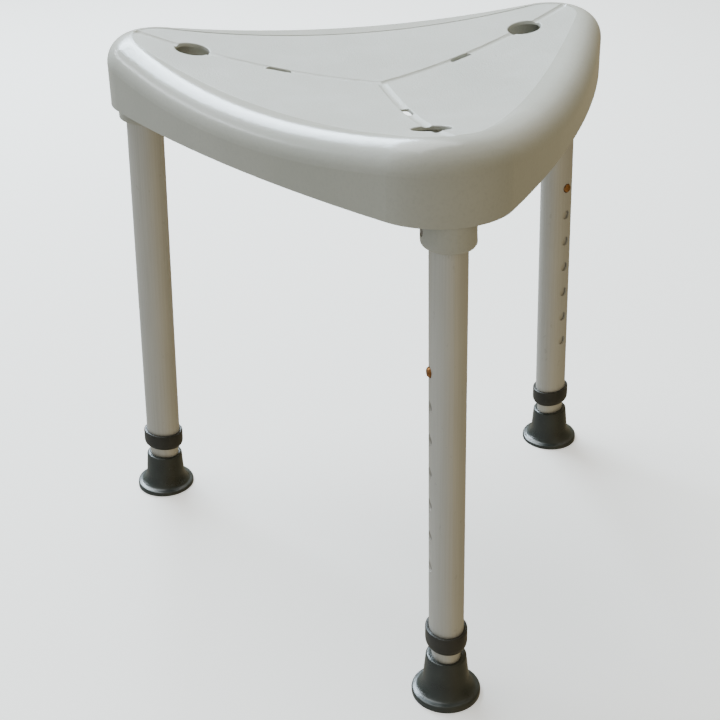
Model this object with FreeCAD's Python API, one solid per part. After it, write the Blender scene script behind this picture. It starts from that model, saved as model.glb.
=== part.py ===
"""Three-legged shower stool: a moulded triangular seat on three splayed telescopic legs.

Millimetres. +Z is up. The origin is on the floor, on the axis that the three legs share.
Every leg piece is modelled once, upright in leg coordinates, and then placed three times:
leg X points away from the stool's axis, leg -Y is the side the snap buttons come out of,
and leg Z runs up the tube from the point where the leg's axis meets the floor.
"""
import FreeCAD, Part
import os
from math import asin, cos, degrees, radians, sin, sqrt, tan

# ---------------------------------------------------------------- driving dimensions
# seat outline, seen from above: three rounded corners joined by slightly bulging sides
SEAT_CORNER_REACH = 171.0      # stool axis to the centre of each corner's rounding
SEAT_CORNER_RADIUS = 51.0
SEAT_SIDE_BULGE = 10.0         # how far the middle of a side stands out past a straight line
SEAT_CENTRE_Z = 398.0          # lowest point of the dished top
SKIRT_DROP = 27.0              # from that point down to the skirt's lower edge
SKIRT_DRAFT = 0.8              # how much the skirt leans in from its lower edge to the rim
SEAT_WALL = 3.2
DISH_RADIUS = 830.0            # spherical dish, so the rim is highest at the corners
RIM_RADIUS = 19.0
PANEL_INSET = 21.0             # skirt's face to the edge of the stippled panels, at a corner
PANEL_SIDE_BULGE = 1.0         # as SEAT_SIDE_BULGE, for the panels' own outline
PANEL_STEP = 0.4               # how far the panels lie below the smooth rim

# drainage in the seat top
GROOVE_TUBE_RADIUS = 6.0
GROOVE_DEPTH = 1.3
GROOVE_END_INSET = 24.0        # groove's end to the outside of the seat's corner
HAND_HOLE_DIAMETER = 26.5
HAND_HOLE_SOCKET_GAP = 11.4    # plastic between the hand hole and the leg socket
SLOT_LENGTH = 21.0
SLOT_WIDTH = 6.2
SLOT_REACH = 83.0
HOLE_EDGE_ROUND = 0.9

# stiffening ribs under the seat
RIB_WALL = 2.4
RIB_DROP = 14.0                # lowest point of the top down to the ribs' lower edge
RIB_HOLE_GAP = 2.0             # hand hole to the two ribs that run past it to the socket
HUB_RING_REACH = 52.0          # flat-to-axis size of the ring of cross ribs round the centre

# leg sockets, moulded in one with the seat
SOCKET_WALL = 5.3
SOCKET_DROP = 19.0             # the skirt's lower edge down to the socket's
SOCKET_INSET = 0.8             # skirt's face to the socket's, at the skirt's lower edge
SOCKET_EDGE_ROUND = 4.0
SOCKET_FIT = 0.15              # gap between the socket's bore and the outer tube
SOCKET_CEILING_RISE = 6.0      # the top's lowest point up to the shoulder the tube stands against
SOCKET_SHOULDER = 2.5
SOCKET_CORE_RISE = 4.0         # height of the narrower core above that shoulder

# leg stance
LEG_SPLAY_DEG = 2.4
LEG_AZIMUTHS = {"front": -90.0, "right": 30.0, "left": 150.0}

# oval leg tubes
OUTER_LONG = 30.5              # outside size of the outer tube, from its inner side to its outer one
OUTER_SHORT = 25.0             # and across, on the button side
TUBE_WALL = 1.5
TELESCOPE_GAP = 0.5            # inner tube to outer tube, all round
INNER_TUBE_TOP_RISE = 35.0      # height button up to the top of the inner tube

# height adjustment
HOLE_COUNT = 7
HOLE_PITCH = 25.4
BUTTON_DEPTH = 87.0            # socket's lower edge down to the height button, at the lowest setting
BUTTON_DIAMETER = 7.6
BUTTON_HOLE_GAP = 0.4
BUTTON_PROUD = 1.9
BUTTON_FLANGE_DIAMETER = 10.4
BUTTON_FLANGE_THICK = 1.2
BUTTON_FLANGE_GAP = 0.1        # flange to the tube's inner wall
BUTTON_DOME = 0.32             # rounding of the tip, as a share of the diameter
SOCKET_BUTTON_RISE = 11.5      # the socket's lower edge up to its button
SOCKET_BUTTON_PROUD = 0.3
DETENT_LEAF_WIDTH = 7.0
DETENT_LEAF_THICK = 0.8
DETENT_LEAF_LENGTH = 38.0
DETENT_WALL_GAP = 0.5          # leaf to the tube's inner wall

# collar at the lower end of the outer tube
COLLAR_BOTTOM = 43.0
COLLAR_HEIGHT = 15.5
COLLAR_LIP = 3.5               # plastic under the tube's end
COLLAR_WALL = 2.7
COLLAR_FIT = 0.1
COLLAR_EDGE_ROUND = 4.2
COLLAR_TOP_ROUND = 0.7
SLIDE_GAP = 0.3                # between pieces that slide past each other

# glide plug in the upper end of the inner tube
GLIDE_FLANGE_HEIGHT = 7.0
GLIDE_SPIGOT_LENGTH = 14.0
GLIDE_WALL = 1.8
GLIDE_EDGE_ROUND = 1.2
GLIDE_FIT = 0.1

# rubber foot
FOOT_NECK_BASE_WALL = 3.75     # rubber beside the tube's long axis where the flare ends
FOOT_NECK_BASE = 14.0          # along the leg, where the flare has died into the neck
FOOT_BASE_MARGIN = 8.5         # how far the base stands out past the neck
FOOT_BASE_THICK = 4.2
FOOT_BASE_ROUND = 1.6
FOOT_SHOULDER = 0.8            # width of the nearly flat ring between that rounding and the flare
FOOT_SHOULDER_RISE = 0.3
FOOT_FLARE_OUT = 2.3           # middle point of the flare, out from the neck
FOOT_FLARE_UP = 2.9            # and up from the base
FOOT_UNDER = 4.0               # rubber modelled below the floor line, before the sole is cut level
FOOT_TOP = 34.2
FOOT_NECK_TOP_WALL = 2.8       # rubber beside the tube's long axis at the top
FOOT_NECK_TOP_SIDE_WALL = 4.5  # rubber beside the tube's short axis at the top
FOOT_TOP_ROUND = 1.9
FOOT_BORE_FIT = 0.1
FOOT_FLOOR = 7.0               # rubber under the washer
FOOT_WASHER_THICK = 1.5
FOOT_SOLE_RIM = 6.5            # width of the sole's ring round its recess
FOOT_RECESS_DEPTH = 1.6

# ---------------------------------------------------------------- derived dimensions
LEG_SPLAY = radians(LEG_SPLAY_DEG)
OUTER_A = OUTER_LONG / 2
OUTER_B = OUTER_SHORT / 2
OUTER_BORE_A = OUTER_A - TUBE_WALL
OUTER_BORE_B = OUTER_B - TUBE_WALL
INNER_A = OUTER_BORE_A - TELESCOPE_GAP
INNER_B = OUTER_BORE_B - TELESCOPE_GAP
INNER_BORE_A = INNER_A - TUBE_WALL
INNER_BORE_B = INNER_B - TUBE_WALL
SOCKET_BORE_A = OUTER_A + SOCKET_FIT
SOCKET_BORE_B = OUTER_B + SOCKET_FIT
SOCKET_A = SOCKET_BORE_A + SOCKET_WALL
SOCKET_B = SOCKET_BORE_B + SOCKET_WALL
COLLAR_TOP = COLLAR_BOTTOM + COLLAR_HEIGHT
OUTER_TUBE_BOTTOM = COLLAR_BOTTOM + COLLAR_LIP
SEAT_CORNER_END = SEAT_CORNER_REACH + SEAT_CORNER_RADIUS
SKIRT_BOTTOM_Z = SEAT_CENTRE_Z - SKIRT_DROP
RIB_BOTTOM_Z = SEAT_CENTRE_Z - RIB_DROP
SOCKET_BOTTOM = SKIRT_BOTTOM_Z - SOCKET_DROP         # along the leg, as are the next six
SOCKET_BUTTON_HEIGHT = SOCKET_BOTTOM + SOCKET_BUTTON_RISE
BUTTON_HEIGHT = SOCKET_BOTTOM - BUTTON_DEPTH
INNER_TUBE_TOP = BUTTON_HEIGHT + INNER_TUBE_TOP_RISE
SOCKET_CEILING = SEAT_CENTRE_Z + SOCKET_CEILING_RISE
SOCKET_CORE_TOP = SOCKET_CEILING + SOCKET_CORE_RISE
OUTER_TUBE_TOP = SOCKET_CEILING
LEG_REACH_AT_SKIRT = SEAT_CORNER_END - SOCKET_INSET - SOCKET_A / cos(LEG_SPLAY)
LEG_FOOT_REACH = LEG_REACH_AT_SKIRT + SKIRT_BOTTOM_Z * tan(LEG_SPLAY)
LEG_REACH_AT_TOP = LEG_FOOT_REACH - SEAT_CENTRE_Z * tan(LEG_SPLAY)
INNER_TUBE_BOTTOM = FOOT_FLOOR + FOOT_WASHER_THICK
FOOT_NECK_BASE_RADIUS = INNER_A + FOOT_NECK_BASE_WALL
FOOT_BASE_RADIUS = FOOT_NECK_BASE_RADIUS + FOOT_BASE_MARGIN
FOOT_RECESS_RADIUS = FOOT_BASE_RADIUS - FOOT_SOLE_RIM
BUTTON_HOLE_DIAMETER = BUTTON_DIAMETER + 2 * BUTTON_HOLE_GAP
HAND_HOLE_RADIUS = HAND_HOLE_DIAMETER / 2
HAND_HOLE_REACH = LEG_REACH_AT_TOP - SOCKET_A - HAND_HOLE_SOCKET_GAP - HAND_HOLE_RADIUS
RIB_PAIR_SPACING = HAND_HOLE_DIAMETER + 2 * RIB_HOLE_GAP + RIB_WALL
GROOVE_END_REACH = SEAT_CORNER_END - GROOVE_END_INSET
DISH_CENTRE_Z = SEAT_CENTRE_Z + DISH_RADIUS
PANEL_DISH_RADIUS = DISH_RADIUS + PANEL_STEP
SEAT_BLANK_TOP = SEAT_CENTRE_Z + 60.0    # well above the rim, before the dish is cut
FAR = 1000.0                             # bigger than the whole stool
Z_AXIS = FreeCAD.Vector(0, 0, 1)
Y_AXIS = FreeCAD.Vector(0, 1, 0)


def vec(x, y, z):
    return FreeCAD.Vector(x, y, z)


def polar(radius, azimuth_deg, z=0.0):
    angle = radians(azimuth_deg)
    return vec(radius * cos(angle), radius * sin(angle), z)


def turned(shape, azimuth_deg):
    """A copy of a shape turned about the stool's axis."""
    copy = shape.copy()
    copy.rotate(vec(0, 0, 0), Z_AXIS, azimuth_deg)
    return copy


def splayed(shape):
    """A copy of a leg shape leaned over and moved out to its foot, pointing along +X."""
    copy = shape.copy()
    copy.rotate(vec(0, 0, 0), Y_AXIS, -LEG_SPLAY_DEG)
    copy.translate(vec(LEG_FOOT_REACH, 0, 0))
    return copy


# ---------------------------------------------------------------- basic shapes
def ellipse_wire(half_x, half_y, z):
    """A horizontal ellipse; either half axis may be the longer one."""
    if abs(half_x - half_y) < 1e-6:
        return Part.Wire(Part.Circle(vec(0, 0, z), Z_AXIS, half_x).toShape())
    centre = vec(0, 0, z)
    if half_x > half_y:
        curve = Part.Ellipse(vec(half_x, 0, z), vec(0, half_y, z), centre)
    else:
        curve = Part.Ellipse(vec(0, half_y, z), vec(-half_x, 0, z), centre)
    return Part.Wire(curve.toShape())


def oval_bar(half_x, half_y, bottom, top):
    face = Part.Face(ellipse_wire(half_x, half_y, bottom))
    return face.extrude(vec(0, 0, top - bottom))


def oval_tube(half_x, half_y, bore_x, bore_y, bottom, top):
    bore = oval_bar(bore_x, bore_y, bottom - 1, top + 1)
    return oval_bar(half_x, half_y, bottom, top).cut(bore)


def side_bar(diameter, height, inner_y, outer_y):
    """A round bar across the leg on its button side, from inner_y out to outer_y."""
    return Part.makeCylinder(diameter / 2, outer_y - inner_y, vec(0, -inner_y, height), vec(0, -1, 0))


def round_edges(solid, radius, picks):
    """Fillet the edges whose middle point passes the test."""
    edges = [e for e in solid.Edges if picks(e.valueAt((e.FirstParameter + e.LastParameter) / 2), e)]
    return solid.makeFillet(radius, edges)


# ---------------------------------------------------------------- seat
def seat_outline(inset, z, side_bulge=SEAT_SIDE_BULGE):
    """Rounded triangle of six tangent arcs, moved in from the skirt's lower outer edge."""
    chord = SEAT_CORNER_REACH * sqrt(3.0)
    side_radius = (chord * chord / 4 + side_bulge ** 2) / (2 * side_bulge)
    half_angle = asin(chord / 2 / side_radius)
    side_centre = SEAT_CORNER_REACH / 2 + side_bulge - side_radius
    corner_r = SEAT_CORNER_RADIUS - inset
    side_r = side_radius + corner_r
    edges = []
    for azimuth in LEG_AZIMUTHS.values():
        corner = polar(SEAT_CORNER_REACH, azimuth, z)
        sweep = 60.0 - degrees(half_angle)
        corner_points = [corner + polar(corner_r, azimuth + a) for a in (-sweep, 0.0, sweep)]
        edges.append(Part.Arc(*corner_points).toShape())
        side_azimuth = azimuth + 60.0
        centre = polar(side_centre, side_azimuth, z)
        spread = degrees(half_angle)
        side_points = [centre + polar(side_r, side_azimuth + a) for a in (-spread, 0.0, spread)]
        edges.append(Part.Arc(*side_points).toShape())
    return Part.Wire(Part.__sortEdges__(edges))


def dished_block(inset, bottom, dish_drop, rim_radius):
    """The seat's solid block, or its hollow: outline, dished top and rounded rim."""
    height = SEAT_BLANK_TOP - bottom
    lean = SKIRT_DRAFT * height / (SEAT_BLANK_TOP - SKIRT_BOTTOM_Z)
    wires = [seat_outline(inset, bottom), seat_outline(inset + lean, SEAT_BLANK_TOP)]
    block = Part.makeLoft(wires, True, True)
    ball = Part.makeSphere(DISH_RADIUS + dish_drop, vec(0, 0, DISH_CENTRE_Z))
    block = block.cut(ball)

    def on_rim(point, edge):
        level = DISH_CENTRE_Z - sqrt((DISH_RADIUS + dish_drop) ** 2 - point.x ** 2 - point.y ** 2)
        return abs(point.z - level) < 0.01 and edge.Length > 5
    return round_edges(block, rim_radius, on_rim)


def panel_cutter():
    """What is taken off the top inside the rim, down to the panels' own dished face."""
    levels = (SEAT_CENTRE_Z - 1, SEAT_BLANK_TOP)
    wires = [seat_outline(PANEL_INSET, z, PANEL_SIDE_BULGE) for z in levels]
    ball = Part.makeSphere(PANEL_DISH_RADIUS, vec(0, 0, DISH_CENTRE_Z))
    return Part.makeLoft(wires, True, True).common(ball)


def groove_cutter():
    """A round-bottomed channel that follows the panels from the centre out to +X."""
    ring_radius = PANEL_DISH_RADIUS + GROOVE_DEPTH - GROOVE_TUBE_RADIUS
    start = vec(0, 0, DISH_CENTRE_Z - ring_radius)
    circle = Part.Wire(Part.Circle(start, vec(1, 0, 0), GROOVE_TUBE_RADIUS).toShape())
    sweep = degrees(asin(GROOVE_END_REACH / ring_radius))
    channel = Part.Face(circle).revolve(vec(0, 0, DISH_CENTRE_Z), vec(0, -1, 0), sweep)
    end_z = DISH_CENTRE_Z - sqrt(ring_radius ** 2 - GROOVE_END_REACH ** 2)
    end = Part.makeSphere(GROOVE_TUBE_RADIUS, vec(GROOVE_END_REACH, 0, end_z))
    return channel.fuse(end)


def seat_openings():
    """Hand hole and drain slot on the +X corner line, as bars through the top."""
    low = RIB_BOTTOM_Z - 1
    high = SEAT_BLANK_TOP
    hole = Part.makeCylinder(HAND_HOLE_RADIUS, high - low, vec(HAND_HOLE_REACH, 0, low))
    half_run = (SLOT_LENGTH - SLOT_WIDTH) / 2
    slot_corner = vec(SLOT_REACH - half_run, -SLOT_WIDTH / 2, low)
    slot = Part.makeBox(2 * half_run, SLOT_WIDTH, high - low, slot_corner)
    for side in (-1, 1):
        end = Part.makeCylinder(SLOT_WIDTH / 2, high - low, vec(SLOT_REACH + side * half_run, 0, low))
        slot = slot.fuse(end)
    return [hole, slot.removeSplitter()]


def rib_set():
    """Ribs on the +X corner line: a pair running out to the socket, and one cross rib at the hub."""
    high = SEAT_BLANK_TOP
    height = high - RIB_BOTTOM_Z
    inner_end = RIB_PAIR_SPACING / 2 / tan(radians(60.0))
    ribs = []
    for side in (-1, 1):
        y_mid = side * RIB_PAIR_SPACING / 2
        corner = vec(inner_end, y_mid - RIB_WALL / 2, RIB_BOTTOM_Z)
        ribs.append(Part.makeBox(SEAT_CORNER_END - inner_end, RIB_WALL, height, corner))
    half_length = HUB_RING_REACH * tan(radians(60.0))
    corner = vec(-HUB_RING_REACH - RIB_WALL / 2, -half_length, RIB_BOTTOM_Z)
    ribs.append(Part.makeBox(RIB_WALL, 2 * half_length, height, corner))
    return ribs


def socket_body():
    """One socket as a solid boss, in leg coordinates, up through the seat top."""
    boss = oval_bar(SOCKET_A, SOCKET_B, SOCKET_BOTTOM, SEAT_BLANK_TOP)
    return round_edges(boss, SOCKET_EDGE_ROUND, lambda p, e: abs(p.z - SOCKET_BOTTOM) < 0.01)


def socket_bore():
    """What is taken out of a socket: the tube's bore, a smaller core above it and the button hole."""
    bore = oval_bar(SOCKET_BORE_A, SOCKET_BORE_B, SOCKET_BOTTOM - 5, SOCKET_CEILING)
    core = oval_bar(SOCKET_BORE_A - SOCKET_SHOULDER, SOCKET_BORE_B - SOCKET_SHOULDER,
                    SOCKET_CEILING - 1, SOCKET_CORE_TOP)
    button_hole = side_bar(BUTTON_HOLE_DIAMETER, SOCKET_BUTTON_HEIGHT, OUTER_B - 2, SOCKET_B + 5)
    return bore.fuse([core, button_hole])


def make_seat():
    outer = dished_block(0.0, SKIRT_BOTTOM_Z, 0.0, RIM_RADIUS)
    hollow = dished_block(SEAT_WALL, SKIRT_BOTTOM_Z - 1, SEAT_WALL, RIM_RADIUS - SEAT_WALL)
    shell = outer.cut(hollow)
    below = Part.makeBox(FAR, FAR, SKIRT_BOTTOM_Z, vec(-FAR / 2, -FAR / 2, 0))
    additions = []
    for azimuth in LEG_AZIMUTHS.values():
        for rib in rib_set():
            additions.append(turned(rib, azimuth).common(hollow))
        boss = turned(splayed(socket_body()), azimuth)
        additions.append(boss.common(outer))
        additions.append(boss.common(below))
    seat = shell.fuse(additions).removeSplitter().cut(panel_cutter())
    openings = []
    for azimuth in LEG_AZIMUTHS.values():
        openings += [turned(o, azimuth) for o in seat_openings()]
    seat = seat.cut(openings)
    seat = round_edges(seat, HOLE_EDGE_ROUND, is_opening_edge)
    channel = groove_cutter()
    cutters = []
    for azimuth in LEG_AZIMUTHS.values():
        cutters.append(turned(channel, azimuth))
        cutters.append(turned(splayed(socket_bore()), azimuth))
    return seat.cut(cutters)


def is_opening_edge(point, edge):
    """True on the upper rim of a hand hole or a drain slot."""
    level = DISH_CENTRE_Z - sqrt(PANEL_DISH_RADIUS ** 2 - point.x ** 2 - point.y ** 2)
    near = False
    for azimuth in LEG_AZIMUTHS.values():
        for reach, half_size in ((HAND_HOLE_REACH, HAND_HOLE_RADIUS), (SLOT_REACH, SLOT_LENGTH / 2)):
            offset = (point - polar(reach, azimuth, point.z)).Length
            near = near or offset < half_size + HOLE_EDGE_ROUND
    return near and abs(point.z - level) < 0.05


# ---------------------------------------------------------------- leg pieces, in leg coordinates
def hole_heights():
    return [BUTTON_HEIGHT - HOLE_PITCH * i for i in range(HOLE_COUNT)]


def make_outer_tube():
    tube = oval_tube(OUTER_A, OUTER_B, OUTER_BORE_A, OUTER_BORE_B, OUTER_TUBE_BOTTOM, OUTER_TUBE_TOP)
    heights = hole_heights() + [SOCKET_BUTTON_HEIGHT]
    holes = [side_bar(BUTTON_HOLE_DIAMETER, h, OUTER_BORE_B - 3, OUTER_B + 3) for h in heights]
    return tube.cut(holes)


def make_inner_tube():
    tube = oval_tube(INNER_A, INNER_B, INNER_BORE_A, INNER_BORE_B, INNER_TUBE_BOTTOM, INNER_TUBE_TOP)
    return tube.cut(side_bar(BUTTON_HOLE_DIAMETER, BUTTON_HEIGHT, INNER_BORE_B - 3, INNER_B + 3))


def make_collar():
    """Cap ring: the outer tube stands on its lip, and the inner tube slides through the lip."""
    outer = oval_bar(OUTER_A + COLLAR_WALL, OUTER_B + COLLAR_WALL, COLLAR_BOTTOM, COLLAR_TOP)
    outer = round_edges(outer, COLLAR_EDGE_ROUND, lambda p, e: abs(p.z - COLLAR_BOTTOM) < 0.01)
    outer = round_edges(outer, COLLAR_TOP_ROUND, lambda p, e: abs(p.z - COLLAR_TOP) < 0.01)
    seat = oval_bar(OUTER_A + COLLAR_FIT, OUTER_B + COLLAR_FIT, OUTER_TUBE_BOTTOM, COLLAR_TOP + 1)
    mouth = oval_bar(INNER_A + SLIDE_GAP, INNER_B + SLIDE_GAP, COLLAR_BOTTOM - 1, OUTER_TUBE_BOTTOM + 1)
    return outer.cut([seat, mouth])


def make_glide():
    """Plug in the inner tube's upper end, with a flange that runs in the outer tube."""
    flange = oval_bar(OUTER_BORE_A - SLIDE_GAP, OUTER_BORE_B - SLIDE_GAP,
                      INNER_TUBE_TOP, INNER_TUBE_TOP + GLIDE_FLANGE_HEIGHT)
    flange = round_edges(flange, GLIDE_EDGE_ROUND, lambda p, e: p.z > INNER_TUBE_TOP + 1)
    spigot_a = INNER_BORE_A - GLIDE_FIT
    spigot_b = INNER_BORE_B - GLIDE_FIT
    spigot = oval_bar(spigot_a, spigot_b, INNER_TUBE_TOP - GLIDE_SPIGOT_LENGTH, INNER_TUBE_TOP + 1)
    core = oval_bar(spigot_a - GLIDE_WALL, spigot_b - GLIDE_WALL,
                    INNER_TUBE_TOP - GLIDE_SPIGOT_LENGTH - 1, INNER_TUBE_TOP + GLIDE_FLANGE_HEIGHT + 1)
    return flange.fuse(spigot).cut(core)


def make_button(height, bore_b, tip_y):
    """Snap button: flange inside the tube wall, shank through the holes, domed tip."""
    flange_y = flange_seat(bore_b)
    shank = side_bar(BUTTON_DIAMETER, height, flange_y - BUTTON_FLANGE_THICK, tip_y)
    dome_radius = BUTTON_DIAMETER * BUTTON_DOME
    shank = round_edges(shank, dome_radius, lambda p, e: p.y < -(tip_y - 0.01) and e.Length > 5)
    flange = side_bar(BUTTON_FLANGE_DIAMETER, height, flange_y - BUTTON_FLANGE_THICK, flange_y)
    return shank.fuse(flange)


def flange_seat(bore_b):
    """Where a flat round flange first meets the tube's curved inner wall, less a small gap."""
    bore_a = bore_b + (OUTER_LONG - OUTER_SHORT) / 2
    lift = 1 - (BUTTON_FLANGE_DIAMETER / 2 / bore_a) ** 2
    return bore_b * sqrt(lift) - BUTTON_FLANGE_GAP


def make_detent_spring(height, bore_b):
    """Leaf bent into a hairpin: one leg carries the button, the other bears on the far wall."""
    front_y = flange_seat(bore_b) - BUTTON_FLANGE_THICK
    back_y = -(bore_b - DETENT_WALL_GAP)
    half_t = DETENT_LEAF_THICK / 2
    front_mid = front_y - half_t
    back_mid = back_y + half_t
    bend = (front_mid - back_mid) / 2
    centre_y = (front_mid + back_mid) / 2
    top = height + BUTTON_FLANGE_DIAMETER / 2
    low = height - DETENT_LEAF_LENGTH + bend
    solids = []
    for mid, leg_top in ((front_mid, top), (back_mid, height)):
        solids.append(Part.makeBox(DETENT_LEAF_WIDTH, DETENT_LEAF_THICK, leg_top - low,
                                   vec(-DETENT_LEAF_WIDTH / 2, -mid - half_t, low)))
    axis_start = vec(-DETENT_LEAF_WIDTH / 2, -centre_y, low)
    outer = Part.makeCylinder(bend + half_t, DETENT_LEAF_WIDTH, axis_start, vec(1, 0, 0))
    inner = Part.makeCylinder(bend - half_t, DETENT_LEAF_WIDTH, axis_start, vec(1, 0, 0))
    upper_half = Part.makeBox(FAR, FAR, FAR, vec(-FAR / 2, -FAR / 2, low))
    solids.append(outer.cut([inner, upper_half]))
    return solids[0].fuse(solids[1:]).removeSplitter()


def make_foot():
    """Rubber foot, placed upright along +X: flared base on the floor and an oval neck up the tube."""
    rim = FOOT_BASE_RADIUS
    top_edge = FOOT_BASE_THICK
    corner = FOOT_BASE_ROUND * (1 - cos(radians(45)))
    below = -FOOT_UNDER
    flare_start = vec(rim - FOOT_BASE_ROUND - FOOT_SHOULDER, 0, top_edge + FOOT_SHOULDER_RISE)
    flare_mid = vec(FOOT_NECK_BASE_RADIUS + FOOT_FLARE_OUT, 0, top_edge + FOOT_FLARE_UP)
    flare_end = vec(FOOT_NECK_BASE_RADIUS, 0, FOOT_NECK_BASE)
    round_start = vec(rim, 0, top_edge - FOOT_BASE_ROUND)
    round_mid = vec(rim - corner, 0, top_edge - corner)
    round_end = vec(rim - FOOT_BASE_ROUND, 0, top_edge)
    outline = [
        Part.LineSegment(vec(0, 0, below), vec(rim, 0, below)).toShape(),
        Part.LineSegment(vec(rim, 0, below), round_start).toShape(),
        Part.Arc(round_start, round_mid, round_end).toShape(),
        Part.LineSegment(round_end, flare_start).toShape(),
        Part.Arc(flare_start, flare_mid, flare_end).toShape(),
        Part.LineSegment(flare_end, vec(0, 0, FOOT_NECK_BASE)).toShape(),
        Part.LineSegment(vec(0, 0, FOOT_NECK_BASE), vec(0, 0, below)).toShape(),
    ]
    base = Part.Face(Part.Wire(outline)).revolve(vec(0, 0, 0), Z_AXIS, 360)
    neck_wires = [
        ellipse_wire(FOOT_NECK_BASE_RADIUS, FOOT_NECK_BASE_RADIUS, FOOT_NECK_BASE),
        ellipse_wire(INNER_A + FOOT_NECK_TOP_WALL, INNER_B + FOOT_NECK_TOP_SIDE_WALL, FOOT_TOP),
    ]
    neck = Part.makeLoft(neck_wires, True, True)
    neck = round_edges(neck, FOOT_TOP_ROUND, lambda p, e: p.z > FOOT_TOP - 0.01)
    bore = oval_bar(INNER_A + FOOT_BORE_FIT, INNER_B + FOOT_BORE_FIT, FOOT_FLOOR, FOOT_TOP + 1)
    foot = splayed(base.fuse(neck).removeSplitter().cut(bore))
    floor = Part.makeBox(FAR, FAR, FAR, vec(-FAR / 2, -FAR / 2, -FAR))
    recess = Part.makeCylinder(FOOT_RECESS_RADIUS, FOOT_RECESS_DEPTH + 1, vec(LEG_FOOT_REACH, 0, -1))
    return foot.cut([floor, recess])


def make_foot_washer():
    return oval_bar(INNER_A, INNER_B, FOOT_FLOOR, FOOT_FLOOR + FOOT_WASHER_THICK)


# ---------------------------------------------------------------- assembly
def leg_pieces():
    """Every piece of one leg, placed along +X and ready to be turned to its corner."""
    upright = {
        "outer_tube": make_outer_tube(),
        "end_collar": make_collar(),
        "inner_tube": make_inner_tube(),
        "glide_plug": make_glide(),
        "foot_washer": make_foot_washer(),
        "adjust_button": make_button(BUTTON_HEIGHT, INNER_BORE_B, OUTER_B + BUTTON_PROUD),
        "adjust_spring": make_detent_spring(BUTTON_HEIGHT, INNER_BORE_B),
        "socket_button": make_button(SOCKET_BUTTON_HEIGHT, OUTER_BORE_B, SOCKET_B + SOCKET_BUTTON_PROUD),
        "socket_spring": make_detent_spring(SOCKET_BUTTON_HEIGHT, OUTER_BORE_B),
    }
    placed = {name: splayed(shape) for name, shape in upright.items()}
    placed["rubber_foot"] = make_foot()
    return placed


def save(name, shape):
    solids = shape.Solids
    if len(solids) != 1 or not solids[0].isValid():
        raise RuntimeError(name + ": expected one valid solid, got " + str(len(solids)))
    solids[0].exportStep("parts/" + name + ".step")


os.makedirs("parts", exist_ok=True)
save("seat_shell", make_seat())
for piece, shape in leg_pieces().items():
    for side, azimuth in LEG_AZIMUTHS.items():
        save(piece + "_" + side, turned(shape, azimuth))
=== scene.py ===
from math import asin, cos, pi, radians, sin

import bpy
from mathutils import Matrix, Quaternion, Vector


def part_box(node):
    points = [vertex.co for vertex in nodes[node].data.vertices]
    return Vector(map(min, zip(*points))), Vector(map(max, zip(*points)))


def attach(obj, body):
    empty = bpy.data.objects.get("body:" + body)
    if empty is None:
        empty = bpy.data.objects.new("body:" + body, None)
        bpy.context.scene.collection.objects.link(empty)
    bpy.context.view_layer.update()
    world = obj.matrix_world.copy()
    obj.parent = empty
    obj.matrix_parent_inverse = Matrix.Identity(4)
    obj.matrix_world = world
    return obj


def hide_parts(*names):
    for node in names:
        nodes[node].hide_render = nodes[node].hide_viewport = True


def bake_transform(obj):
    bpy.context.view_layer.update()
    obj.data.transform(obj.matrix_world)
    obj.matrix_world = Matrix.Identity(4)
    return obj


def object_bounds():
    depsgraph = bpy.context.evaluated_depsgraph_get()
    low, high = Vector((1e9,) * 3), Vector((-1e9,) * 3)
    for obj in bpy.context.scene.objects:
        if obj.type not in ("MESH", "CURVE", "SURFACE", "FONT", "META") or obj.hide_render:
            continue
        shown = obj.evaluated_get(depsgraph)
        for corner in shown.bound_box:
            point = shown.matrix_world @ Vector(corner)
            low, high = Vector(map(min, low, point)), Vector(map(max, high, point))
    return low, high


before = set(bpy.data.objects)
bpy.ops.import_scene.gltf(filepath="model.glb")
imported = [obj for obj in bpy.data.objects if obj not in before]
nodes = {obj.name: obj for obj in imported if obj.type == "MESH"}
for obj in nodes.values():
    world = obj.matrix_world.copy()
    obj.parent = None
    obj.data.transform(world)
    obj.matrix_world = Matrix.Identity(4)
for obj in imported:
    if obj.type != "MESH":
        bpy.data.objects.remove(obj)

cad_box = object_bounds()

# ------------------------------------------------------------------ floor, light and camera
# A pale matt floor, a little lit from within, that throws no light back up. A cool panel hangs
# high behind, as a window does, with a thin one low on its left and a wide one overhead. The
# air is cool on the left, and warm and dim on the right, which gives the plastic its olive side.
bpy.ops.object.select_all(action="DESELECT")
bpy.ops.mesh.primitive_plane_add(size=14.0, location=(0, 0, 0))
floor = bpy.context.object
floor.name = "studio_floor"
floor_paint = bpy.data.materials.new("studio_floor")
floor_paint.use_nodes = True
floor_shader = floor_paint.node_tree.nodes["Principled BSDF"]
floor_shader.inputs["Base Color"].default_value = (0.90, 0.89, 0.86, 1)
floor_shader.inputs["Roughness"].default_value = 0.95
floor_shader.inputs["Emission Color"].default_value = (1.0, 1.0, 1.0, 1)
floor_shader.inputs["Emission Strength"].default_value = 0.55
floor.data.materials.append(floor_paint)
floor.visible_diffuse = False
floor.visible_glossy = False

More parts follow.
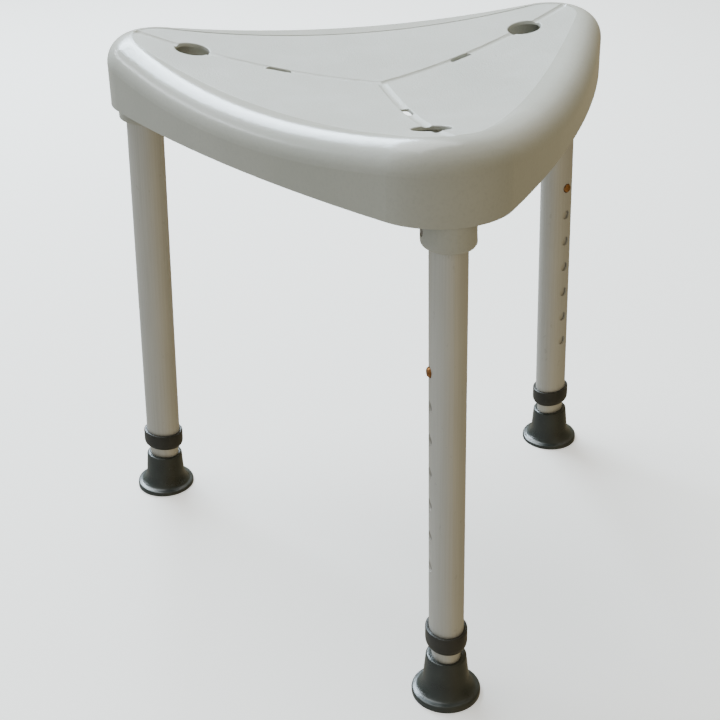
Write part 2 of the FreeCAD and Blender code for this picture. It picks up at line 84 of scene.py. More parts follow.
studio_air = bpy.data.worlds.new("studio_air")
bpy.context.scene.world = studio_air
studio_air.use_nodes = True
air_tree = studio_air.node_tree
air = air_tree.nodes["Background"]
direction = air_tree.nodes.new("ShaderNodeTexCoord").outputs["Generated"]
split = air_tree.nodes.new("ShaderNodeSeparateXYZ")
air_tree.links.new(direction, split.inputs["Vector"])
from_left = air_tree.nodes.new("ShaderNodeMapRange")
from_left.inputs["From Min"].default_value = -1.0
from_left.inputs["From Max"].default_value = 1.0
air_tree.links.new(split.outputs["X"], from_left.inputs["Value"])
air_colour = air_tree.nodes.new("ShaderNodeValToRGB")
air_tree.links.new(from_left.outputs["Result"], air_colour.inputs["Fac"])
cool_air, dim_air = air_colour.color_ramp.elements
cool_air.position = 0.10
cool_air.color = (0.44, 0.46, 0.44, 1)
dim_air.position = 1.0
dim_air.color = (0.24, 0.21, 0.13, 1)
warm_air = air_colour.color_ramp.elements.new(0.74)
warm_air.color = (0.43, 0.36, 0.22, 1)
seen = air_tree.nodes.new("ShaderNodeLightPath").outputs["Is Camera Ray"]
backdrop = air_tree.nodes.new("ShaderNodeMix")
backdrop.data_type = "RGBA"
unseen_air, seen_air = [s for s in backdrop.inputs if s.type == "RGBA"]
seen_air.default_value = (0.86, 0.87, 0.88, 1)
air_tree.links.new(air_colour.outputs["Color"], unseen_air)
air_tree.links.new(seen, backdrop.inputs["Factor"])
air_tree.links.new([s for s in backdrop.outputs if s.type == "RGBA"][0], air.inputs["Color"])

SEAT_MIDDLE = 0.9        # height of the seat's middle, as a share of the stool's height
seat_middle = Vector((0, 0, cad_box[1].z * SEAT_MIDDLE))


def hang_panel(name, place, width, height, watts, colour):
    """A soft rectangular lamp that faces the seat."""
    lamp = bpy.data.lights.new(name, "AREA")
    lamp.shape = "RECTANGLE"
    lamp.size = width
    lamp.size_y = height
    lamp.energy = watts
    lamp.color = colour
    panel = bpy.data.objects.new(name, lamp)
    bpy.context.scene.collection.objects.link(panel)
    panel.location = place
    panel.rotation_mode = "QUATERNION"
    panel.rotation_quaternion = (panel.location - seat_middle).to_track_quat("Z", "Y")


hang_panel("window_panel", (-0.74, 2.13, 1.95), 1.65, 0.72, 120.0, (0.72, 0.87, 1.0))
hang_panel("window_ledge", (-1.75, 1.30, 1.25), 1.3, 0.10, 9.0, (0.86, 0.93, 1.0))
hang_panel("ceiling_panel", (-0.7, 1.4, 3.9), 3.6, 3.0, 190.0, (0.92, 0.97, 1.0))

lens = bpy.data.cameras.new("camera")
lens.sensor_width = 36.0
lens.lens = 64.34
camera = bpy.data.objects.new("camera", lens)
bpy.context.scene.collection.objects.link(camera)
camera.location = (-0.190, -0.918, 0.671)
camera.rotation_mode = "QUATERNION"
heading = Quaternion((0, 0, 1), radians(-10.47))
looking_down = Quaternion((1, 0, 0), radians(90 - 28.39))
level = Quaternion((0, 0, 1), radians(-1.05))
camera.rotation_quaternion = heading @ looking_down @ level
bpy.context.scene.camera = camera

# ------------------------------------------------------------------ seat
# One moulding of grey polypropylene: dished three-panel top with a fine stipple, smooth
# rounded rim and skirt, and ribs and leg sockets below. Drain grooves part the panels.
CORNER_REACH = 0.171     # stool axis to the centre of a corner's rounding
CORNER_RADIUS = 0.051
PANEL_SIDE_BULGE = 0.001  # how far a panel's side bows out of a straight line
PANEL_INSET = 0.021      # skirt's face to the step round the panels, at a corner
DISH_LOW = 0.398         # lowest point of the dished top
UNDER_DISH = 0.0030      # what lies this far below it is no longer the top
STIPPLE_FROM = 0.0002    # the stipple starts this far outside the step
STIPPLE_FULL = 0.0004    # and is full this far inside it
STIPPLE_DULLS = 0.24     # how much rougher the stippled panels are than the rim


def new_finish(name, colour, roughness, metallic=0.0):
    """A material with its plain values on the shader, and its node tree and Object coordinates."""
    finish = bpy.data.materials.new(name)
    finish.use_nodes = True
    tree = finish.node_tree
    shader = tree.nodes["Principled BSDF"]
    shader.inputs["Base Color"].default_value = (*colour, 1)
    shader.inputs["Roughness"].default_value = roughness
    shader.inputs["Metallic"].default_value = metallic
    place = tree.nodes.new("ShaderNodeTexCoord").outputs["Object"]
    return finish, tree, shader, place


def speckle(tree, place, size, detail, stretch=None):
    """Noise with grains of about this size, in metres; stretch gives its scale along X, Y and Z."""
    if stretch:
        mapping = tree.nodes.new("ShaderNodeMapping")
        mapping.inputs["Scale"].default_value = stretch
        tree.links.new(place, mapping.inputs["Vector"])
        place = mapping.outputs["Vector"]
    noise = tree.nodes.new("ShaderNodeTexNoise")
    noise.inputs["Scale"].default_value = 1.0 / size
    noise.inputs["Detail"].default_value = detail
    tree.links.new(place, noise.inputs["Vector"])
    return noise.outputs["Fac"]


def remap(tree, value, low, high, out_low, out_high):
    """A clamped straight-line change of range."""
    node = tree.nodes.new("ShaderNodeMapRange")
    node.inputs["From Min"].default_value = low
    node.inputs["From Max"].default_value = high
    node.inputs["To Min"].default_value = out_low
    node.inputs["To Max"].default_value = out_high
    tree.links.new(value, node.inputs["Value"])
    return node.outputs["Result"]


def arithmetic(tree, operation, *values):
    """One sum on numbers or sockets."""
    node = tree.nodes.new("ShaderNodeMath")
    node.operation = operation
    for socket, value in zip(node.inputs, values):
        if isinstance(value, float):
            socket.default_value = value
        else:
            tree.links.new(value, socket)
    return node.outputs["Value"]


def hypotenuse(tree, across, up):
    """The length of a step that goes this far across and this far up."""
    up_squared = arithmetic(tree, "MULTIPLY", up, up)
    return arithmetic(tree, "SQRT", arithmetic(tree, "MULTIPLY_ADD", across, across, up_squared))


def tint(tree, factor, first, second):
    """A colour between two: first is a colour or a socket, second a colour."""
    node = tree.nodes.new("ShaderNodeMix")
    node.data_type = "RGBA"
    colour_in = [s for s in node.inputs if s.type == "RGBA"]
    for socket, value in zip(colour_in, (first, second)):
        if isinstance(value, tuple):
            socket.default_value = (*value, 1)
        else:
            tree.links.new(value, socket)
    tree.links.new(factor, node.inputs["Factor"])
    return [s for s in node.outputs if s.type == "RGBA"][0]


def emboss(tree, shader, height, depth):
    """Bump of this depth in metres, on top of any bump the shader already has."""
    node = tree.nodes.new("ShaderNodeBump")
    node.inputs["Strength"].default_value = 1.0
    node.inputs["Distance"].default_value = depth
    if shader.inputs["Normal"].links:
        tree.links.new(shader.inputs["Normal"].links[0].from_socket, node.inputs["Normal"])
    tree.links.new(height, node.inputs["Height"])
    tree.links.new(node.outputs["Normal"], shader.inputs["Normal"])


seat_plastic, tree, shader, place = new_finish("seat_plastic", (0.55, 0.56, 0.52), 0.30)

# how far in from the seat's edge a point lies, seen from above and folded into one sixth of the
# seat: along runs out to a corner, and aside across to the nearer side
across = tree.nodes.new("ShaderNodeSeparateXYZ")
tree.links.new(place, across.inputs["Vector"])
x, y = across.outputs["X"], across.outputs["Y"]
reach = hypotenuse(tree, x, y)
turn = arithmetic(tree, "ADD", arithmetic(tree, "ARCTAN2", y, x), pi / 2)
turn = arithmetic(tree, "PINGPONG", turn, pi / 3)
along = arithmetic(tree, "MULTIPLY", reach, arithmetic(tree, "COSINE", turn))
aside = arithmetic(tree, "MULTIPLY", reach, arithmetic(tree, "SINE", turn))


def distance_to(centre_along, centre_aside):
    """From a point of that sixth to a centre in it."""
    run = arithmetic(tree, "SUBTRACT", along, centre_along)
    rise = arithmetic(tree, "SUBTRACT", aside, centre_aside)
    return hypotenuse(tree, run, rise)


# the edge is a small arc at the corner and a very large one along the side, and a point is the
# corner's where it lies inside the wedge that the corner's arc spans
half_chord = CORNER_REACH * sin(pi / 3)
side_radius = (half_chord ** 2 + PANEL_SIDE_BULGE ** 2) / (2 * PANEL_SIDE_BULGE)
side_centre = CORNER_REACH / 2 + PANEL_SIDE_BULGE - side_radius
corner_distance = distance_to(CORNER_REACH, 0.0)
side_distance = distance_to(side_centre * cos(pi / 3), side_centre * sin(pi / 3))
corner_inset = arithmetic(tree, "SUBTRACT", CORNER_RADIUS, corner_distance)
side_inset = arithmetic(tree, "SUBTRACT", side_radius + CORNER_RADIUS, side_distance)
wedge = cos(pi / 3 - asin(half_chord / side_radius))
past_corner = arithmetic(tree, "SUBTRACT", along, CORNER_REACH)
wedge_edge = arithmetic(tree, "MULTIPLY", corner_distance, wedge)
at_corner = arithmetic(tree, "GREATER_THAN", past_corner, wedge_edge)
inset = tree.nodes.new("ShaderNodeMix")
tree.links.new(at_corner, inset.inputs["Factor"])
tree.links.new(side_inset, inset.inputs["A"])
tree.links.new(corner_inset, inset.inputs["B"])
inset = inset.outputs["Result"]

on_top = arithmetic(tree, "GREATER_THAN", across.outputs["Z"], DISH_LOW - UNDER_DISH)
past_step = remap(tree, inset, PANEL_INSET - STIPPLE_FROM, PANEL_INSET + STIPPLE_FULL, 0.0, 1.0)
on_panel = arithmetic(tree, "MULTIPLY", past_step, on_top)
cloudy = speckle(tree, place, size=0.09, detail=5.0)
peppered = speckle(tree, place, size=0.0022, detail=2.0)
colour = tint(tree, remap(tree, cloudy, 0.3, 0.7, 0.0, 1.0), (0.520, 0.530, 0.490), (0.575, 0.580, 0.540))
colour = tint(tree, remap(tree, peppered, 0.48, 0.75, 0.0, 0.30), colour, (0.46, 0.47, 0.45))
scum = remap(tree, speckle(tree, place, size=0.030, detail=6.0), 0.50, 0.80, 0.0, 0.35)
scum = arithmetic(tree, "MULTIPLY", scum, on_panel)
colour = tint(tree, scum, colour, (0.66, 0.67, 0.66))
tree.links.new(colour, shader.inputs["Base Color"])
smooth_gloss = remap(tree, cloudy, 0.3, 0.7, 0.20, 0.26)
gloss = arithmetic(tree, "MULTIPLY_ADD", on_panel, STIPPLE_DULLS, smooth_gloss)
tree.links.new(gloss, shader.inputs["Roughness"])
stipple = arithmetic(tree, "MULTIPLY", speckle(tree, place, size=0.0013, detail=1.5), on_panel)
emboss(tree, shader, stipple, depth=0.00030)
emboss(tree, shader, speckle(tree, place, size=0.007, detail=2.0), depth=0.00007)
shader.inputs["Subsurface Weight"].default_value = 0.06
shader.inputs["Subsurface Radius"].default_value = (0.004, 0.004, 0.003)
shader.inputs["Subsurface Scale"].default_value = 0.4


def dress(name, finish):
    """Gives a CAD node its finish and leaves its mesh as it is."""
    slots = nodes[name].data.materials
    slots.clear()
    slots.append(finish)


dress("seat_shell", seat_plastic)

# ------------------------------------------------------------------ outer and inner tubes
# Oval drawn aluminium tube with a clear satin anodised surface; fine lines run up the tube
# from the drawing die. The inner tube is the same, a little paler and glossier, with black
# spots of painted shade where the outer tube's open holes leave it bare.
LEG_AZIMUTHS = {"front": -90.0, "right": 30.0, "left": 150.0}
LEG_LEAN = radians(2.4)
TUBE_METALLIC = 0.40     # the anodised skin is cloudy, so it is only part mirror


def drawn_tube_finish(name, side, colour, roughness):
    """Satin aluminium with its drawing lines along this leg."""
    finish, tree, shader, place = new_finish(name, colour, roughness, TUBE_METALLIC)
    upright = tree.nodes.new("ShaderNodeVectorRotate")
    upright.rotation_type = "AXIS_ANGLE"
    azimuth = radians(LEG_AZIMUTHS[side])
    upright.inputs["Axis"].default_value = (-sin(azimuth), cos(azimuth), 0)
    upright.inputs["Angle"].default_value = LEG_LEAN
    tree.links.new(place, upright.inputs["Vector"])
    along = upright.outputs["Vector"]
    drawn = speckle(tree, along, size=0.0010, detail=3.0, stretch=(1.0, 1.0, 0.012))
    cloudy = speckle(tree, along, size=0.030, detail=4.0, stretch=(1.0, 1.0, 0.35))
    scuffs = speckle(tree, along, size=0.0045, detail=6.0, stretch=(1.0, 1.0, 0.6))
    line = tuple(c * 0.93 for c in colour)
    worn = tuple(c * 1.08 for c in colour)
    scuff = tuple(c * 0.7 for c in colour)
    tone = tint(tree, remap(tree, drawn, 0.35, 0.65, 0.0, 1.0), colour, line)
    tone = tint(tree, remap(tree, cloudy, 0.40, 0.75, 0.0, 0.6), tone, worn)
    tone = tint(tree, remap(tree, scuffs, 0.66, 0.72, 0.0, 0.35), tone, scuff)
    tree.links.new(tone, shader.inputs["Base Color"])
    gloss = remap(tree, drawn, 0.3, 0.7, roughness - 0.03, roughness + 0.04)
    tree.links.new(gloss, shader.inputs["Roughness"])
    emboss(tree, shader, drawn, depth=0.00002)
    emboss(tree, shader, speckle(tree, along, size=0.0006, detail=2.0), depth=0.00003)
    return finish, tree, shader, along


HOLE_PITCH = 0.0254
HOLE_RADIUS = 0.0040
HOLE_SPAN = 6 * HOLE_PITCH
BUTTON_HEIGHT = 0.265    # up the tube from the floor to the hole that the button fills
# painted shade seen through the outer tube's holes: the soft edge and the colour of its spots
HOLE_SHADE_EDGE = 0.0008
HOLE_SHADE = (0.035, 0.030, 0.024)
OUTER_ALUMINIUM = (0.68, 0.67, 0.64)
OUTER_ROUGHNESS = 0.44
INNER_ALUMINIUM = (0.70, 0.68, 0.63)
INNER_ROUGHNESS = 0.38

foot_low, foot_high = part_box("rubber_foot_front")
foot_radius = (foot_high.x - foot_low.x) / 2
foot_reach = -foot_low.y - foot_radius


def painted_shade_behind_holes(side, tree, shader, along):
    """Painted shade: black spots on the inner tube where the outer tube's open holes leave it bare."""
    turned = tree.nodes.new("ShaderNodeVectorRotate")
    turned.rotation_type = "Z_AXIS"
    turned.inputs["Angle"].default_value = -radians(LEG_AZIMUTHS[side])
    tree.links.new(along, turned.inputs["Vector"])
    leg_place = tree.nodes.new("ShaderNodeSeparateXYZ")
    tree.links.new(turned.outputs["Vector"], leg_place.inputs["Vector"])
    out = arithmetic(tree, "SUBTRACT", leg_place.outputs["X"], foot_reach * cos(LEG_LEAN))
    height = arithmetic(tree, "ADD", leg_place.outputs["Z"], foot_reach * sin(LEG_LEAN) - BUTTON_HEIGHT)
    up = arithmetic(tree, "PINGPONG", height, HOLE_PITCH / 2)
    up = arithmetic(tree, "SUBTRACT", HOLE_PITCH / 2, up)
    from_hole = hypotenuse(tree, out, up)
    spot = remap(tree, from_hole, HOLE_RADIUS - HOLE_SHADE_EDGE, HOLE_RADIUS, 1.0, 0.0)
    button_side = arithmetic(tree, "LESS_THAN", leg_place.outputs["Y"], 0.0)
    in_row = arithmetic(tree, "COMPARE", height, -HOLE_SPAN / 2, HOLE_SPAN / 2 + HOLE_PITCH / 3)
    spot = arithmetic(tree, "MULTIPLY", spot, arithmetic(tree, "MULTIPLY", button_side, in_row))
    # painted shade: the spots turn black and lose their metal sheen, standing in for the shade inside the
    # holes
    tone = tint(tree, spot, shader.inputs["Base Color"].links[0].from_socket, HOLE_SHADE)
    tree.links.new(tone, shader.inputs["Base Color"])
    tree.links.new(remap(tree, spot, 0.0, 1.0, TUBE_METALLIC, 0.0), shader.inputs["Metallic"])


for side in LEG_AZIMUTHS:
    outer = drawn_tube_finish(f"satin_aluminium_{side}", side, OUTER_ALUMINIUM, OUTER_ROUGHNESS)
    dress(f"outer_tube_{side}", outer[0])
    inner = drawn_tube_finish(f"inner_aluminium_{side}", side, INNER_ALUMINIUM, INNER_ROUGHNESS)
    # paints shade onto the inner tube where the outer tube's holes leave it bare
    painted_shade_behind_holes(side, *inner[1:])
    dress(f"inner_tube_{side}", inner[0])

# ------------------------------------------------------------------ end collars
# A black moulded ring, pushed on the lower end of each outer tube until the tube's end stands
# on its lip. Its lower edge is rounded like a bowl, and the inner tube slides through it.
RING_SIDES = 96
TUBE_LONGER = 0.00275    # how much more a tube measures from its axis outwards than sideways
SLIDE_GAP = 0.0003       # inner tube to collar
GRIP_FIT = 0.00005       # outer tube to collar
COLLAR_WALL = 0.0027
COLLAR_HEIGHT = 0.0155
COLLAR_LIP = 0.0035      # thickness of the lip that the outer tube's end stands on
COLLAR_EDGE = 0.0004     # broken edges of its two mouths
COLLAR_ROUND = 0.0009    # rounding of its upper edge
COLLAR_ROUND_STEPS = 4
COLLAR_DIP = 0.0007      # how far the lean takes its low side below its middle
BOWL_DEPTH = 0.0056
BOWL_FLAT = 0.0010       # flat ring between the bowl's rounding and the mouth
BOWL_STEPS = 8

tube_low, tube_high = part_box("outer_tube_front")
inner_low, inner_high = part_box("inner_tube_front")
tube_side = (tube_high.x - tube_low.x) / 2
inner_side = (inner_high.x - inner_low.x) / 2


def start_ring(name, out, side, height):
    """An oval face to build from, in edit mode: out is its half size along X, side along Y."""
    bpy.ops.object.select_all(action="DESELECT")
    bpy.ops.mesh.primitive_circle_add(vertices=RING_SIDES, radius=1.0, fill_type="NGON")
    piece = bpy.context.object
    piece.name = name
    piece.data.name = name
    bpy.ops.object.mode_set(mode="EDIT")
    bpy.ops.mesh.select_all(action="SELECT")
    bpy.ops.transform.resize(value=(out, side, 1.0), center_override=(0, 0, 0))
    bpy.ops.transform.translate(value=(0, 0, height))
    return piece, [out, side, height]


def raise_ring(last, out, side, height):
    """Extrudes the selected face from its last half size and height to new ones."""
    bpy.ops.mesh.extrude_region_move(TRANSFORM_OT_translate={"value": (0, 0, height - last[2])})
    scale = (out / last[0], side / last[1], 1.0)
    bpy.ops.transform.resize(value=scale, center_override=(0, 0, height))
    last[:] = [out, side, height]


def round_over(last, radius, steps):
    """A quarter circle that ends facing up: in by its radius, and up by it."""
    out, side, height = last
    for step in range(1, steps + 1):
        angle = pi / 2 * step / steps
        inward = radius * (1 - cos(angle))
        raise_ring(last, out - inward, side - inward, height + radius * sin(angle))


def close_edit(piece, smooth_degrees):
    """Faces outwards, smooth except at real corners."""
    bpy.ops.mesh.select_all(action="SELECT")
    bpy.ops.mesh.normals_make_consistent(inside=False)
    bpy.ops.object.mode_set(mode="OBJECT")
    bpy.ops.object.select_all(action="DESELECT")
    piece.select_set(True)
    bpy.context.view_layer.objects.active = piece
    bpy.ops.object.shade_smooth_by_angle(angle=radians(smooth_degrees))


def leg_frame(side, leaned=False):
    """Takes what is modelled upright to its leg; leaned says that it leans over already."""
    lean = Matrix.Identity(4) if leaned else Matrix.Rotation(-LEG_LEAN, 4, "Y")
    azimuth = Matrix.Rotation(radians(LEG_AZIMUTHS[side]), 4, "Z")
    return azimuth @ Matrix.Translation((foot_reach, 0, 0)) @ lean


def copy_to_leg(pattern, node, side, finish, leaned=False):
    """A copy with its own mesh that stands for a CAD node of this leg."""
    piece = pattern.copy()
    piece.data = pattern.data.copy()
    piece.name = f"{node}_{side}_finished"
    piece.data.name = piece.name
    bpy.context.scene.collection.objects.link(piece)
    piece.data.transform(leg_frame(side, leaned))
    piece.data.materials.clear()
    piece.data.materials.append(finish)
    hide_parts(f"{node}_{side}")
    return piece


collar_plastic, tree, shader, place = new_finish("collar_plastic", (0.035, 0.037, 0.034), 0.36)
grain = speckle(tree, place, size=0.0010, detail=2.0)
cloudy = speckle(tree, place, size=0.012, detail=4.0)
tone = tint(tree, remap(tree, cloudy, 0.35, 0.7, 0.0, 1.0), (0.026, 0.027, 0.025), (0.048, 0.046, 0.041))
scratches = speckle(tree, place, size=0.0016, detail=5.0, stretch=(1.0, 1.0, 0.25))
tone = tint(tree, remap(tree, scratches, 0.66, 0.74, 0.0, 0.5), tone, (0.10, 0.10, 0.09))
tree.links.new(tone, shader.inputs["Base Color"])
tree.links.new(remap(tree, cloudy, 0.3, 0.7, 0.30, 0.46), shader.inputs["Roughness"])
emboss(tree, shader, grain, depth=0.00010)

collar_bottom = (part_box("end_collar_front")[0].z + COLLAR_DIP) / cos(LEG_LEAN)
collar_top = collar_bottom + COLLAR_HEIGHT
lip_top = collar_bottom + COLLAR_LIP
collar_out = tube_side + TUBE_LONGER + COLLAR_WALL
collar_side = tube_side + COLLAR_WALL
mouth_out = inner_side + TUBE_LONGER + SLIDE_GAP
mouth_side = inner_side + SLIDE_GAP
grip_out = tube_side + TUBE_LONGER + GRIP_FIT
grip_side = tube_side + GRIP_FIT
bowl_width = collar_side - mouth_side - BOWL_FLAT

# down the lower mouth, out and up round the bowl and the outside, and down inside to the lip
collar, ring = start_ring("end_collar_pattern", mouth_out, mouth_side, lip_top)
raise_ring(ring, mouth_out, mouth_side, collar_bottom + COLLAR_EDGE)
raise_ring(ring, mouth_out + COLLAR_EDGE, mouth_side + COLLAR_EDGE, collar_bottom)
for step in range(BOWL_STEPS + 1):
    angle = pi / 2 * step / BOWL_STEPS
    inward = bowl_width * (1 - sin(angle))
    level = collar_bottom + BOWL_DEPTH * (1 - cos(angle))
    raise_ring(ring, collar_out - inward, collar_side - inward, level)
raise_ring(ring, collar_out, collar_side, collar_top - COLLAR_ROUND)
round_over(ring, COLLAR_ROUND, COLLAR_ROUND_STEPS)
raise_ring(ring, grip_out + COLLAR_EDGE, grip_side + COLLAR_EDGE, collar_top)
raise_ring(ring, grip_out, grip_side, collar_top - COLLAR_EDGE)
raise_ring(ring, grip_out, grip_side, lip_top)

# open both ends, and join the lip's inner edge to where the mouth began
bpy.ops.mesh.select_all(action="DESELECT")
bpy.ops.mesh.select_face_by_sides(number=RING_SIDES)
bpy.ops.mesh.delete(type="ONLY_FACE")
bpy.ops.mesh.select_non_manifold(extend=False)
bpy.ops.mesh.bridge_edge_loops()
close_edit(collar, smooth_degrees=35)
for side in LEG_AZIMUTHS:
    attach(copy_to_leg(collar, "end_collar", side, collar_plastic), "seat")
bpy.data.objects.remove(collar)

# ------------------------------------------------------------------ rubber feet
# One black rubber moulding per leg: a neck that grips the inner tube, flaring into a thin round
# base. The neck leans with the leg, and the base is cut level and stands on its outer ring.
NECK_TOP = 0.0342
NECK_TOP_OUT = 0.01605
NECK_TOP_SIDE = 0.0150
NECK_FOOT = 0.0140       # where the flare has died into the round neck
NECK_RADIUS = 0.0170
TOP_ROUND = 0.0019
TOP_ROUND_STEPS = 6
BASE_THICK = 0.0042
BASE_ROUND = 0.0016
BASE_ROUND_STEPS = 5
SHOULDER = 0.0008        # nearly flat ring between that rounding and the flare
SHOULDER_RISE = 0.0003
FLARE_STEPS = 14
FLARE_POWER = 1.8        # a little fuller than a quarter oval
NECK_STEPS = 10
BORE_FIT = 0.0001
BORE_EDGE = 0.0003       # broken edge of the bore's mouth
BORE_FLOOR = 0.0070
BELOW_FLOOR = 0.0040     # modelled this far down, so that it can be cut level
SOLE_RIM = 0.0065
SOLE_RECESS = 0.0016
SOLE_EDGE = 0.0005

black_rubber, tree, shader, place = new_finish("black_rubber", (0.020, 0.027, 0.024), 0.42)
cloudy = speckle(tree, place, size=0.014, detail=5.0)
bloom = speckle(tree, place, size=0.006, detail=6.0)
tone = tint(tree, remap(tree, cloudy, 0.35, 0.7, 0.0, 1.0), (0.014, 0.020, 0.018), (0.030, 0.039, 0.036))
tone = tint(tree, remap(tree, bloom, 0.60, 0.80, 0.0, 0.22), tone, (0.085, 0.092, 0.088))
tree.links.new(tone, shader.inputs["Base Color"])
tree.links.new(remap(tree, cloudy, 0.3, 0.7, 0.24, 0.38), shader.inputs["Roughness"])
shader.inputs["Specular IOR Level"].default_value = 0.8
emboss(tree, shader, speckle(tree, place, size=0.0009, detail=3.0), depth=0.00008)
emboss(tree, shader, bloom, depth=0.00003)

foot, ring = start_ring("rubber_foot_pattern", foot_radius, foot_radius, -BELOW_FLOOR)
raise_ring(ring, foot_radius, foot_radius, BASE_THICK - BASE_ROUND)
round_over(ring, BASE_ROUND, BASE_ROUND_STEPS)
flare_start = foot_radius - BASE_ROUND - SHOULDER
flare_low = BASE_THICK + SHOULDER_RISE
raise_ring(ring, flare_start, flare_start, flare_low)
for step in range(1, FLARE_STEPS + 1):
    angle = pi / 2 * step / FLARE_STEPS
    radius = flare_start - (flare_start - NECK_RADIUS) * sin(angle) ** (2 / FLARE_POWER)
    level = NECK_FOOT - (NECK_FOOT - flare_low) * max(cos(angle), 0.0) ** (2 / FLARE_POWER)
    raise_ring(ring, radius, radius, level)
for step in range(1, NECK_STEPS + 1):
    share = step / NECK_STEPS
    neck_out = NECK_RADIUS + (NECK_TOP_OUT - NECK_RADIUS) * share
    neck_side = NECK_RADIUS + (NECK_TOP_SIDE - NECK_RADIUS) * share
    raise_ring(ring, neck_out, neck_side, NECK_FOOT + (NECK_TOP - TOP_ROUND - NECK_FOOT) * share)
round_over(ring, TOP_ROUND, TOP_ROUND_STEPS)
bore_out = inner_side + TUBE_LONGER + BORE_FIT
bore_side = inner_side + BORE_FIT
raise_ring(ring, bore_out + BORE_EDGE, bore_side + BORE_EDGE, NECK_TOP)
raise_ring(ring, bore_out, bore_side, NECK_TOP - BORE_EDGE)
raise_ring(ring, bore_out, bore_side, BORE_FLOOR)
close_edit(foot, smooth_degrees=40)

# lean it, cut it level with the floor, and hollow the sole
foot.data.transform(Matrix.Rotation(-LEG_LEAN, 4, "Y"))
bpy.ops.object.mode_set(mode="EDIT")
bpy.ops.mesh.select_all(action="SELECT")
bpy.ops.mesh.bisect(plane_co=(0, 0, 0), plane_no=(0, 0, 1), use_fill=True, clear_inner=True)
bpy.ops.mesh.select_mode(type="FACE")
bpy.ops.mesh.inset(thickness=SOLE_RIM)
bpy.ops.mesh.extrude_region_move(TRANSFORM_OT_translate={"value": (0, 0, SOLE_RECESS - SOLE_EDGE)})
bpy.ops.mesh.inset(thickness=SOLE_EDGE)
bpy.ops.transform.translate(value=(0, 0, SOLE_EDGE))
close_edit(foot, smooth_degrees=40)
for side in LEG_AZIMUTHS:
    boot = copy_to_leg(foot, "rubber_foot", side, black_rubber, leaned=True)
    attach(boot, f"leg_{side}")
bpy.data.objects.remove(foot)

# ------------------------------------------------------------------ snap buttons and their springs
# Each button is riveted to a hairpin leaf spring inside the tube and springs out through the
# holes. The height buttons are brass, the socket buttons plain steel. A spring's other side
# stays against the far wall, so the leaf closes up as its button is pressed.
button_brass, tree, shader, place = new_finish("button_brass", (0.62, 0.36, 0.14), 0.32, 1.0)
tarnish = speckle(tree, place, size=0.0015, detail=4.0)
tone = tint(tree, remap(tree, tarnish, 0.4, 0.7, 0.0, 1.0), (0.46, 0.22, 0.08), (0.22, 0.09, 0.04))
tree.links.new(tone, shader.inputs["Base Color"])
tree.links.new(remap(tree, tarnish, 0.3, 0.7, 0.26, 0.48), shader.inputs["Roughness"])
emboss(tree, shader, tarnish, depth=0.00003)
spring_steel, tree, shader, place = new_finish("spring_steel", (0.30, 0.29, 0.28), 0.34, 1.0)
brushed = speckle(tree, place, size=0.0005, detail=3.0, stretch=(1.0, 1.0, 0.05))
blued = speckle(tree, place, size=0.004, detail=4.0)
tone = tint(tree, remap(tree, blued, 0.35, 0.7, 0.0, 1.0), (0.34, 0.33, 0.31), (0.20, 0.17, 0.15))
tree.links.new(tone, shader.inputs["Base Color"])
tree.links.new(remap(tree, brushed, 0.3, 0.7, 0.26, 0.44), shader.inputs["Roughness"])
emboss(tree, shader, brushed, depth=0.00003)

LEAF_WIDTH = 0.0070
LEAF_THICK = 0.0008
LEAF_TOP_RISE = 0.0052   # button's axis up to the top of the leaf that carries it
HAIRPIN_DROP = 0.0384    # and down to the outside of the bend
HAIRPIN_STEPS = 16
LEAF_RUNS = 6            # straight stretches of each leaf
MERGE_DISTANCE = 0.000001
BODY_BEHIND = {"adjust": "leg_{}", "socket": "seat"}
BUTTON_FINISH = {"adjust": button_brass, "socket": spring_steel}

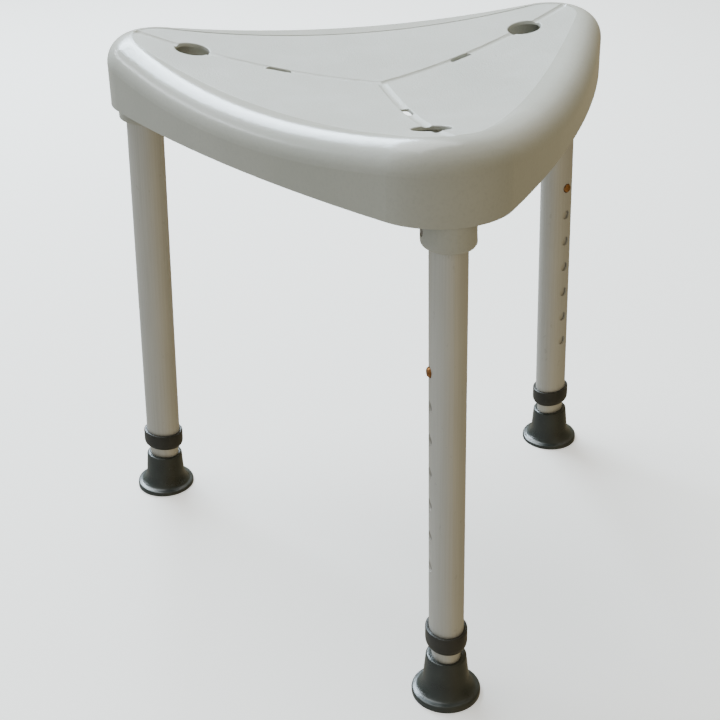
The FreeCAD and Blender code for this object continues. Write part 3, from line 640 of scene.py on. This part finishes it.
for use, body_behind in BODY_BEHIND.items():
    spring_low, spring_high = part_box(f"{use}_spring_front")
    button_face = spring_low.x + LEAF_THICK / 2
    wall_face = spring_high.x - LEAF_THICK / 2
    bend = (wall_face - button_face) / 2
    button_height = spring_low.z / cos(LEG_LEAN) + HAIRPIN_DROP
    bend_height = button_height - HAIRPIN_DROP + bend + LEAF_THICK / 2
    leaf_top = button_height + LEAF_TOP_RISE
    bpy.ops.object.select_all(action="DESELECT")
    bpy.ops.mesh.primitive_plane_add(size=1.0)
    spring = bpy.context.object
    bpy.ops.object.mode_set(mode="EDIT")
    bpy.ops.mesh.select_all(action="SELECT")
    bpy.ops.transform.resize(value=(LEAF_WIDTH, LEAF_THICK, 1.0), center_override=(0, 0, 0))
    bpy.ops.transform.translate(value=(0, button_face, leaf_top))
    down = (bend_height - leaf_top) / LEAF_RUNS
    for run in range(LEAF_RUNS):
        bpy.ops.mesh.extrude_region_move(TRANSFORM_OT_translate={"value": (0, 0, down)})
    bend_middle = (0, (button_face + wall_face) / 2, bend_height)
    bpy.ops.mesh.spin(steps=HAIRPIN_STEPS, angle=pi, center=bend_middle, axis=(-1, 0, 0))
    back_up = (button_height - bend_height) / LEAF_RUNS
    for run in range(LEAF_RUNS):
        bpy.ops.mesh.extrude_region_move(TRANSFORM_OT_translate={"value": (0, 0, back_up)})
    bpy.ops.mesh.select_all(action="SELECT")
    bpy.ops.mesh.remove_doubles(threshold=MERGE_DISTANCE)
    close_edit(spring, smooth_degrees=30)
    for side in LEG_AZIMUTHS:
        dress(f"{use}_button_{side}", BUTTON_FINISH[use])
        leaf = copy_to_leg(spring, f"{use}_spring", side, spring_steel)
        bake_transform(leaf)
    bpy.data.objects.remove(spring)

# ------------------------------------------------------------------ hidden plugs and washers
# A moulded nylon plug fills the top of each inner tube and glides in the outer one. A zinc
# plated steel washer lies in the foot under the tube's end, so that it can't cut the rubber.
nylon, tree, shader, place = new_finish("natural_nylon", (0.72, 0.70, 0.64), 0.45)
emboss(tree, shader, speckle(tree, place, size=0.001, detail=2.0), depth=0.00005)
zinc, tree, shader, place = new_finish("zinc_plate", (0.60, 0.61, 0.62), 0.35, 1.0)
spangle = speckle(tree, place, size=0.004, detail=3.0)
tree.links.new(remap(tree, spangle, 0.3, 0.7, 0.25, 0.5), shader.inputs["Roughness"])
for side in LEG_AZIMUTHS:
    dress(f"glide_plug_{side}", nylon)
    dress(f"foot_washer_{side}", zinc)
